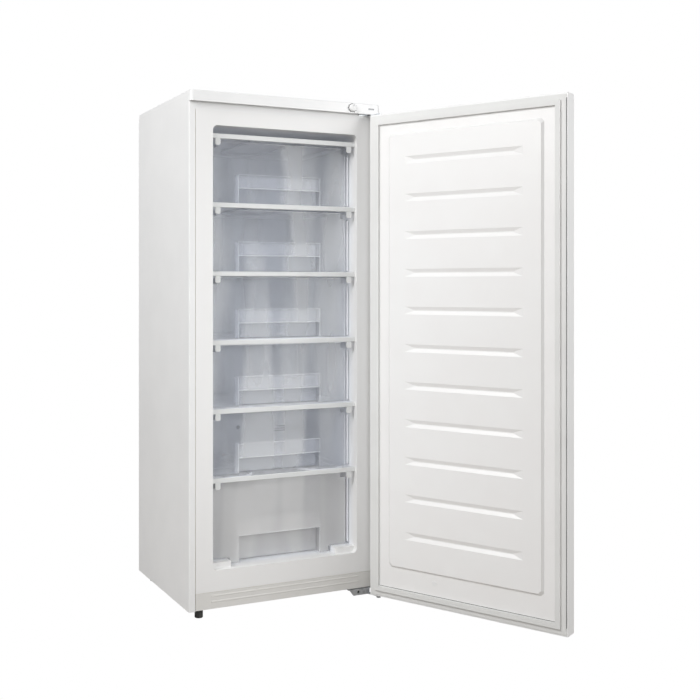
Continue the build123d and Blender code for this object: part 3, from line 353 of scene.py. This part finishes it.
# ---------------------------------------------------------------- evaporator shelves
TUBE_RADIUS = 0.0035
WIRE_RADIUS = 0.0008
TUBE_PASSES = 4
WIRE_COUNT = 27
BEND_STEPS = 24
FRONT_ROOM = 0.01
WIRE_END = 0.002
for number in DRAWERS:
    low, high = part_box(f"evaporator_shelf_{number}")
    tube_z = low.z + TUBE_RADIUS
    wire_z = high.z - WIRE_RADIUS
    pitch = (high.x - low.x - 2 * TUBE_RADIUS) / (TUBE_PASSES - 1)
    bend = pitch / 2
    first = low.x + TUBE_RADIUS
    near = low.y + FRONT_ROOM + TUBE_RADIUS + bend
    far = high.y - TUBE_RADIUS - bend
    route = [(first, far + bend, tube_z)]
    for i in range(TUBE_PASSES):
        x = first + i * pitch
        forward = i % 2 == 0
        ends = (far, near) if forward else (near, far)
        route += [(x, ends[0], tube_z), (x, ends[1], tube_z)]
        if i < TUBE_PASSES - 1:
            for step in range(1, BEND_STEPS):
                turn = pi * step / BEND_STEPS
                reach = -bend * sin(turn) if forward else bend * sin(turn)
                route.append((x + bend - bend * cos(turn), ends[1] + reach, tube_z))
    wires = []
    for i in range(WIRE_COUNT):
        y = low.y + WIRE_RADIUS + i * (high.y - low.y - 2 * WIRE_RADIUS) / (WIRE_COUNT - 1)
        wires.append([(low.x + WIRE_END, y, wire_z), (high.x - WIRE_END, y, wire_z)])
    tube = wire_piece(f"shelf_{number}_tube", [route], TUBE_RADIUS, "shelf_enamel", "cabinet", 5)
    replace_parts(tube, f"evaporator_shelf_{number}")
    wire_piece(f"shelf_{number}_wires", wires, WIRE_RADIUS, "shelf_enamel", "cabinet", 2)


# ---------------------------------------------------------------- places
MM = 0.001
DOOR_TURN = radians(117.7)
HINGE_LINE = (0.531, -0.062)
door_along = (cos(DOOR_TURN), sin(DOOR_TURN))
door_across = (-sin(DOOR_TURN), cos(DOOR_TURN))
door_plane = (HINGE_LINE, door_along, door_across)


def rounded(corners, radius, steps=8):
    """A run through corners given in millimetres, with each bend drawn as an arc."""
    corners = [Vector(corner) * MM for corner in corners]
    run = [corners[0]]
    for before, corner, after in zip(corners, corners[1:], corners[2:]):
        start = corner + (before - corner).normalized() * radius
        end = corner + (after - corner).normalized() * radius
        for step in range(steps + 1):
            share = step / steps
            run.append(start.lerp(corner, share).lerp(corner.lerp(end, share), share))
    return run + [corners[-1]]


def joined(name, pieces):
    """Several pieces of one look and body as one object."""
    bpy.ops.object.select_all(action="DESELECT")
    for piece in pieces:
        piece.select_set(True)
    bpy.context.view_layer.objects.active = pieces[0]
    bpy.ops.object.join()
    pieces[0].name = name
    return pieces[0]


# ---------------------------------------------------------------- control panel
knob_low, knob_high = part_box("thermostat_knob")
knob_x = (knob_low.x + knob_high.x) / 2
knob_z = (knob_low.z + knob_high.z) / 2
knob_front = knob_low.y
KNOB_DEPTH = 0.009
knob_base = knob_front + KNOB_DEPTH
PRINT = 0.0001  # how far a printed mark stands out
POINTER_HALF, POINTER_DEPTH = 0.0009, 0.0011
MARK_HALF = 0.0006
SHAFT_RADIUS, SHAFT_LENGTH = 0.003, 0.018
knob = turned_piece(
    "knob_round", (knob_x, knob_base, knob_z), FORWARD,
    [(0.0, 0.0100), (0.0006, 0.0109), (0.0058, 0.0106), (0.0072, 0.0099), (0.008, 0.0085)],
    "white_abs", "thermostat_knob", 64,
)
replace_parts(knob, "thermostat_knob")
box_piece("knob_pointer", (knob_x - POINTER_HALF, knob_front, knob_z - 0.0068),
          (knob_x + POINTER_HALF, knob_front + POINTER_DEPTH, knob_z + 0.0088),
          "white_abs", "thermostat_knob", 0.0003)
box_piece("knob_pointer_mark", (knob_x - MARK_HALF, knob_front - PRINT, knob_z + 0.003),
          (knob_x + MARK_HALF, knob_front + PRINT, knob_z + 0.0082),
          "dark_plastic", "thermostat_knob")
turned_piece("knob_shaft", (knob_x, knob_base, knob_z), BACKWARD,
             [(0.0, SHAFT_RADIUS), (SHAFT_LENGTH, SHAFT_RADIUS)],
             "white_abs", "thermostat_knob", 32)

# marks round the knob, with no marks straight above and below it, and a dark ring round the knob:
# painted shadow
TICK_STEP = 30  # degrees
TICKS = (0, 1, 5, 6, 7, 8, 10, 11)
TICK_HALF, TICK_INNER, TICK_OUTER = 0.0009, 0.0130, 0.0146
SHADOW_RING_RADIUS = 0.0124
TICK_FACES = [(0, 1, 2, 3), (7, 6, 5, 4), (0, 4, 5, 1), (1, 5, 6, 2), (2, 6, 7, 3), (3, 7, 4, 0)]
centre = Vector((knob_x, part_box("top_cover")[0].y, knob_z))
ticks = []
for i in TICKS:
    turn = radians(TICK_STEP * i)
    ray = Vector((cos(turn), 0, sin(turn)))
    side = Vector((-sin(turn), 0, cos(turn))) * TICK_HALF
    inner, outer = centre + ray * TICK_INNER, centre + ray * TICK_OUTER
    outline = (inner + side, outer + side, outer - side, inner - side)
    points = [point + rise for rise in (Vector(), Vector((0, -PRINT, 0))) for point in outline]
    ticks.append(mesh_piece(f"tick_{i}", points, TICK_FACES, "dark_plastic", "cabinet", 0))
joined("dial_marks", ticks)
turned_piece("dial_painted_shadow_ring", centre, FORWARD, [(0.0, SHADOW_RING_RADIUS), (PRINT, SHADOW_RING_RADIUS)],
             "dark_plastic", "cabinet", 64, SHARP_ANGLE, painted_shadow_look)

# ---------------------------------------------------------------- drawers' edges, drawn as painted highlights
EDGE = 0.0009
RIM = 0.003
POCKET_HALF, POCKET_BACK, POCKET_FOOT = 0.1281, 0.0022, 0.001
TOP_INSET, SIDE_INSET, SIDE_DROP = 0.021, 0.006, 0.02
for number in DRAWERS:
    low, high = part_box(f"drawer_{number}")
    if number == LOWEST:
        pocket_rise, bar_rise, side_rise = 0.1122, 0.074, 0.02
    else:
        pocket_rise, bar_rise, side_rise = 0.0832, 0.045, 0.0015
    middle = (low.x + high.x) / 2
    front, behind = low.y + EDGE, low.y + POCKET_BACK
    left, right = low.x + RIM, high.x - RIM
    pocket_left, pocket_right = middle - POCKET_HALF, middle + POCKET_HALF
    pocket_low, pocket_high = low.z + POCKET_FOOT, low.z + pocket_rise
    top, bar = high.z - EDGE, low.z + bar_rise
    side_low, side_high = low.z + side_rise, high.z - SIDE_DROP
    runs = [
        [(left + TOP_INSET, front, top), (right - TOP_INSET, front, top)],
        [(pocket_left, behind, pocket_low), (pocket_left, behind, pocket_high),
         (pocket_right, behind, pocket_high), (pocket_right, behind, pocket_low)],
        [(pocket_left, front, bar), (pocket_right, front, bar)],
        [(left + SIDE_INSET, front, side_low), (left + SIDE_INSET, front, side_high)],
        [(right - SIDE_INSET, front, side_low), (right - SIDE_INSET, front, side_high)],
    ]
    wire_piece(f"drawer_{number}_edges", runs, EDGE, "clear_plastic", f"drawer_{number}", 2,
               painted_highlight_look)

# thin sheets on the back walls of the drawers' pockets: painted light that lifts their shade
POCKET_LIGHT_HALF, POCKET_LIGHT_FOOT = 0.126, 0.003
POCKET_LIGHT_NEAR, POCKET_LIGHT_FAR = 0.0262, 0.0266
for number in DRAWERS:
    low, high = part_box(f"drawer_{number}")
    middle = (low.x + high.x) / 2
    rise, slot_name = (0.107, "frosted_plastic") if number == LOWEST else (0.079, "clear_plastic")
    box_piece(f"drawer_{number}_pocket_painted_light",
              (middle - POCKET_LIGHT_HALF, low.y + POCKET_LIGHT_NEAR, low.z + POCKET_LIGHT_FOOT),
              (middle + POCKET_LIGHT_HALF, low.y + POCKET_LIGHT_FAR, low.z + rise),
              slot_name, f"drawer_{number}")

# thin front flanges beside each drawer's body, bright with painted highlight
FLANGE_WIDTH, FLANGE_DEPTH, FLANGE_DROP = 0.0052, 0.0016, 0.022
for number in DRAWERS:
    low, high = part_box(f"drawer_{number}")
    foot = low.z + (0.022 if number == LOWEST else 0.004)
    flanges = []
    left, right = low.x + RIM, high.x - RIM
    for start, end in ((left - FLANGE_WIDTH, left), (right, right + FLANGE_WIDTH)):
        flanges.append(box_piece("flange", (start, low.y, foot),
                                 (end, low.y + FLANGE_DEPTH, high.z - FLANGE_DROP),
                                 "clear_plastic", f"drawer_{number}", 0.0, None, painted_highlight_look))
    joined(f"drawer_{number}_flanges", flanges)

# ---------------------------------------------------------------- cavity's back wall
WALL_SCREWS = ((0.377, 0.474), (0.264, 0.458))
TUBES_LEFT, TUBES_RIGHT, TUBES_LOW = 0.389, 0.482, 0.440
TUBE_COUNT, TUBE_RISE, LEFT_STEP, RIGHT_STEP = 3, 0.007, 0.004, -0.006
WALL_GAP = 0.0077  # behind the shelves' back ends
TUBE_GAP = 0.003
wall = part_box("evaporator_shelf_1")[1].y + WALL_GAP
# the screws and tubes are drawn near-black: painted shade
shades = []
for x, z in WALL_SCREWS:
    shades.append(turned_piece("wall_screw", (x, wall, z), FORWARD,
                               [(0.0, 0.0062), (0.0012, 0.0060), (0.0026, 0.0042)],
                               "zinc_steel", "cabinet", 24, SHARP_ANGLE, painted_shadow_look))
joined("wall_screws", shades)
tube_runs = []
for i in range(TUBE_COUNT):
    z = TUBES_LOW + TUBE_RISE * i
    tube_runs.append([(TUBES_LEFT + LEFT_STEP * i, wall - TUBE_GAP, z),
                      (TUBES_RIGHT + RIGHT_STEP * i, wall - TUBE_GAP, z)])
wire_piece("capillary_tubes", tube_runs, 0.0017, "copper_pipe", "cabinet", 3, painted_shadow_look)

# ---------------------------------------------------------------- door's seal
door_low, door_high = 0.014, 1.394
free_edge, hinge_edge, inner_face = -0.571, 0.014, 0.022
seal = 0.032
shadow_gap = 0.0012
# dark strips on the door's liner along the seal's inner edge, at the bottom and close to the free
# edge: painted shadow
seal_shadows = (
    ("seal_shadow_bottom", (free_edge + seal, hinge_edge - seal),
     (door_low + seal, door_low + seal + shadow_gap)),
    ("seal_shadow_free", (free_edge + 0.0022, free_edge + 0.0036),
     (door_low + 0.022, door_high - 0.014)),
)
for name, (x0, x1), (z0, z1) in seal_shadows:
    box_piece(name, (x0, inner_face - 0.0002, z0), (x1, inner_face + 0.0003, z1),
              "gasket_vinyl", "door", 0.0, door_plane, painted_shadow_look)

# ---------------------------------------------------------------- feet
for side in ("left", "right"):
    low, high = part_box(f"front_foot_{side}")
    centre = ((low.x + high.x) / 2, (low.y + high.y) / 2, 0.0)
    foot = turned_piece(
        f"levelling_foot_{side}", centre, UP,
        [(0.0, 0.0104), (0.0012, 0.0114), (0.0175, 0.0114), (0.0185, 0.0108),
         (0.021, 0.0108), (0.0211, 0.004), (0.048, 0.004)],
        "dark_plastic", f"{side}_foot", 48, SHARP_ANGLE, foot_look,
    )
    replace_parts(foot, f"front_foot_{side}")
    low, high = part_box(f"rear_foot_{side}")
    centre = ((low.x + high.x) / 2, (low.y + high.y) / 2, 0.0)
    foot = turned_piece(
        f"fixed_foot_{side}", centre, UP,
        [(0.0, 0.0142), (0.0018, 0.0158), (0.012, 0.0158), (0.026, 0.0150)],
        "dark_plastic", "cabinet", 48, SHARP_ANGLE, foot_look,
    )
    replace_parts(foot, f"rear_foot_{side}")

# ---------------------------------------------------------------- hinge screws
HINGE_SCREWS = (((0.493, -0.016, 1.421), UP), ((0.527, -0.016, 1.421), UP),
                ((0.460, 0.012, 0.023), DOWN), ((0.526, 0.012, 0.023), DOWN))
heads = []
for place, outward in HINGE_SCREWS:
    heads.append(turned_piece(
        "screw_head", place, outward,
        [(0.0, 0.0044), (0.0009, 0.0044), (0.0016, 0.0036), (0.0020, 0.0024),
         (0.0020, 0.0016), (0.0012, 0.0010)],
        "zinc_steel", "cabinet", 28,
    ))
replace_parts(joined("hinge_screw_heads", heads), "hinge_screws")

# ---------------------------------------------------------------- machinery
low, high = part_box("compressor")
centre = Vector(((low.x + high.x) / 2, (low.y + high.y) / 2, 0.0))
half_length, half_width = 0.094, 0.064
PLATE_MARGIN, PLATE_TOP, LEG_TOP = 0.009, 0.003, 0.018
LEG_APART, LEG_HALF_WIDTH, LEG_HALF_DEPTH = 0.05, 0.014, 0.036


def pot_ring(z, share, power=3.0, count=64):
    """A rounded outline of the pot at a height, as a share of its full size."""
    ring = []
    for i in range(count):
        turn = 2 * pi * i / count
        c, s = cos(turn), sin(turn)
        reach = (abs(c) ** power + abs(s) ** power) ** (-1 / power)
        ring.append(centre + Vector((half_length * share * reach * c,
                                     half_width * share * reach * s, z)))
    return ring


POT_RINGS = ((0.050, 0.72), (0.056, 0.90), (0.066, 0.975), (0.080, 1.0), (0.1025, 1.0),
             (0.1027, 1.03), (0.1065, 1.03), (0.1067, 0.985), (0.132, 0.97), (0.148, 0.90),
             (0.160, 0.76), (0.167, 0.55), (0.1705, 0.28))
pot = rings_piece("compressor_pot", [pot_ring(z, share) for z, share in POT_RINGS],
                  "black_enamel", "cabinet", 30)
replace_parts(pot, "compressor")
box_piece("compressor_plate", (low.x + PLATE_MARGIN, low.y + PLATE_MARGIN, low.z),
          (high.x - PLATE_MARGIN, high.y - PLATE_MARGIN, low.z + PLATE_TOP),
          "black_enamel", "cabinet", 0.001)
for x in (centre.x - LEG_APART, centre.x + LEG_APART):
    box_piece("compressor_leg",
              (x - LEG_HALF_WIDTH, centre.y - LEG_HALF_DEPTH, low.z + PLATE_TOP),
              (x + LEG_HALF_WIDTH, centre.y + LEG_HALF_DEPTH, low.z + LEG_TOP),
              "black_enamel", "cabinet", 0.002)

PIPE_BEND = 0.014
suction = wire_piece("suction_tube", [rounded([
    (246, 335.5, 116), (215, 335.5, 116), (215, 385.2, 116), (215, 385.2, 372.1),
    (215, 346, 372.1)], PIPE_BEND)], 0.0032, "copper_pipe", "cabinet", 6)
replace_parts(suction, "suction_pipe")
discharge = wire_piece("discharge_tube", [rounded([
    (246, 315.5, 86), (185, 315.5, 86), (185, 385.2, 86), (185, 385.2, 280),
    (185, 411, 280)], PIPE_BEND)], 0.0026, "copper_pipe", "cabinet", 6)
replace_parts(discharge, "discharge_pipe")
low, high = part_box("filter_drier")
drier = turned_piece(
    "drier_round", ((low.x + high.x) / 2, (low.y + high.y) / 2, low.z), UP,
    [(0.0, 0.0030), (0.004, 0.0040), (0.010, 0.0088), (0.012, 0.0090), (0.084, 0.0090),
     (0.086, 0.0088), (0.092, 0.0040), (0.096, 0.0030), (0.0965, 0.0022), (0.126, 0.0022)],
    "copper_pipe", "cabinet", 36,
)
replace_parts(drier, "filter_drier")
PIPE_PORTS = ((0.262, 0.3355, 0.116), (0.262, 0.3155, 0.086))
for place in PIPE_PORTS:
    turned_piece("pipe_port", place, (-1, 0, 0),
                 [(0.0, 0.0062), (0.017, 0.0060), (0.018, 0.0050)], "copper_pipe", "cabinet", 24)

# screws down both sides of the back panel
SCREW_ROWS, END_MARGIN, SIDE_MARGIN, SCREW_SUNK = 5, 0.02, 0.014, 0.0008
low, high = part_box("back_panel")
heads = []
for i in range(SCREW_ROWS):
    z = low.z + END_MARGIN + i * (high.z - low.z - 2 * END_MARGIN) / (SCREW_ROWS - 1)
    for x in (low.x + SIDE_MARGIN, high.x - SIDE_MARGIN):
        heads.append(turned_piece("panel_screw", (x, high.y - SCREW_SUNK, z), BACKWARD,
                                  [(0.0, 0.0038), (0.0004, 0.0036), (0.0007, 0.0026)],
                                  "zinc_steel", "cabinet", 20))
joined("back_panel_screws", heads)

# ---------------------------------------------------------------- light, floor and camera
def area_light(name, place, aim, size, power, tint=(1.0, 1.0, 1.0), spread=180):
    lamp = bpy.data.lights.new(name, "AREA")
    lamp.shape = "RECTANGLE"
    lamp.size, lamp.size_y = size
    lamp.energy = power
    lamp.color = tint
    lamp.spread = radians(spread)
    holder = bpy.data.objects.new(name, lamp)
    holder.location = place
    holder.rotation_euler = (Vector(aim) - Vector(place)).to_track_quat("-Z", "Y").to_euler()
    bpy.context.scene.collection.objects.link(holder)


area_light("front_softbox", (-0.2, -2.8, 2.1), (0.25, 0.0, 0.95), (1.6, 1.6), 7)
area_light("cavity_strip", (0.22, -1.6, 0.74), (0.25, 0.3, 0.73), (0.42, 1.15), 0.5,
           (0.93, 0.965, 1.0), 45)
area_light("left_softbox", (-2.5, -1.0, 2.8), (0.2, 0.0, 1.1), (1.6, 1.6), 86)
area_light("door_edge_fill", (2.4, -2.4, 1.8), (0.8, -0.55, 0.8), (1.0, 1.0), 36)

# light passes the many thin clear walls of a stack of drawers
bpy.context.scene.cycles.transparent_max_bounces = 40


def shown_as(tree, lit, shown, output):
    """Lets the camera, also through clear walls, see one shader and the light another."""
    path = tree.nodes.new("ShaderNodeLightPath")
    through = Value(tree, path.outputs["Is Transmission Ray"])
    seen = Value(tree, path.outputs["Is Camera Ray"]).math("MAXIMUM", through)
    either = tree.nodes.new("ShaderNodeMixShader")
    tree.links.new(seen.socket, either.inputs[0])
    tree.links.new(lit.outputs[0], either.inputs[1])
    tree.links.new(shown.outputs[0], either.inputs[2])
    tree.links.new(either.outputs[0], output.inputs["Surface"])


def plain_shader(tree, kind, colour, strength):
    made = tree.nodes.new(kind)
    made.inputs["Color"].default_value = (*colour, 1.0)
    made.inputs["Strength"].default_value = strength
    return made


PLAIN_WHITE = (1.0, 1.0, 1.0)
world = bpy.data.worlds.new("studio")
bpy.context.scene.world = world
world.use_nodes = True
tree = world.node_tree
tree.nodes.clear()
ambient = plain_shader(tree, "ShaderNodeBackground", (0.955, 0.975, 1.0), 0.39)
white = plain_shader(tree, "ShaderNodeBackground", PLAIN_WHITE, 1.0)
shown_as(tree, ambient, white, tree.nodes.new("ShaderNodeOutputWorld"))

# the floor lights the part from below and looks plain white itself
bpy.ops.mesh.primitive_plane_add(size=14.0, location=(0.3, 0.0, 0.0))
floor = bpy.context.object
floor.name = "floor"
floor_look, shader, place = material("floor_white", Roughness=0.8)
plug(place.noise(3.0, 2.0).mix((0.38, 0.35, 0.32), (0.42, 0.39, 0.36)), shader, "Base Color")
tree = floor_look.node_tree
glow = plain_shader(tree, "ShaderNodeEmission", PLAIN_WHITE, 1.0)
shown_as(tree, shader, glow, tree.nodes["Material Output"])
floor.data.materials.append(floor_look)
floor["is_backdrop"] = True

camera_data = bpy.data.cameras.new("camera")
camera_data.lens = 51.81
camera_data.sensor_width = 36.0
camera_data.shift_x = 0.1143
camera_data.shift_y = -0.0919
camera = bpy.data.objects.new("camera", camera_data)
camera.location = (-0.9725, -2.5765, 0.9037)
camera.rotation_euler = (radians(90), 0.0, radians(-24.725))
bpy.context.scene.collection.objects.link(camera)
bpy.context.scene.camera = camera
bpy.context.scene.view_settings.view_transform = "Standard"

low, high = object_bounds()
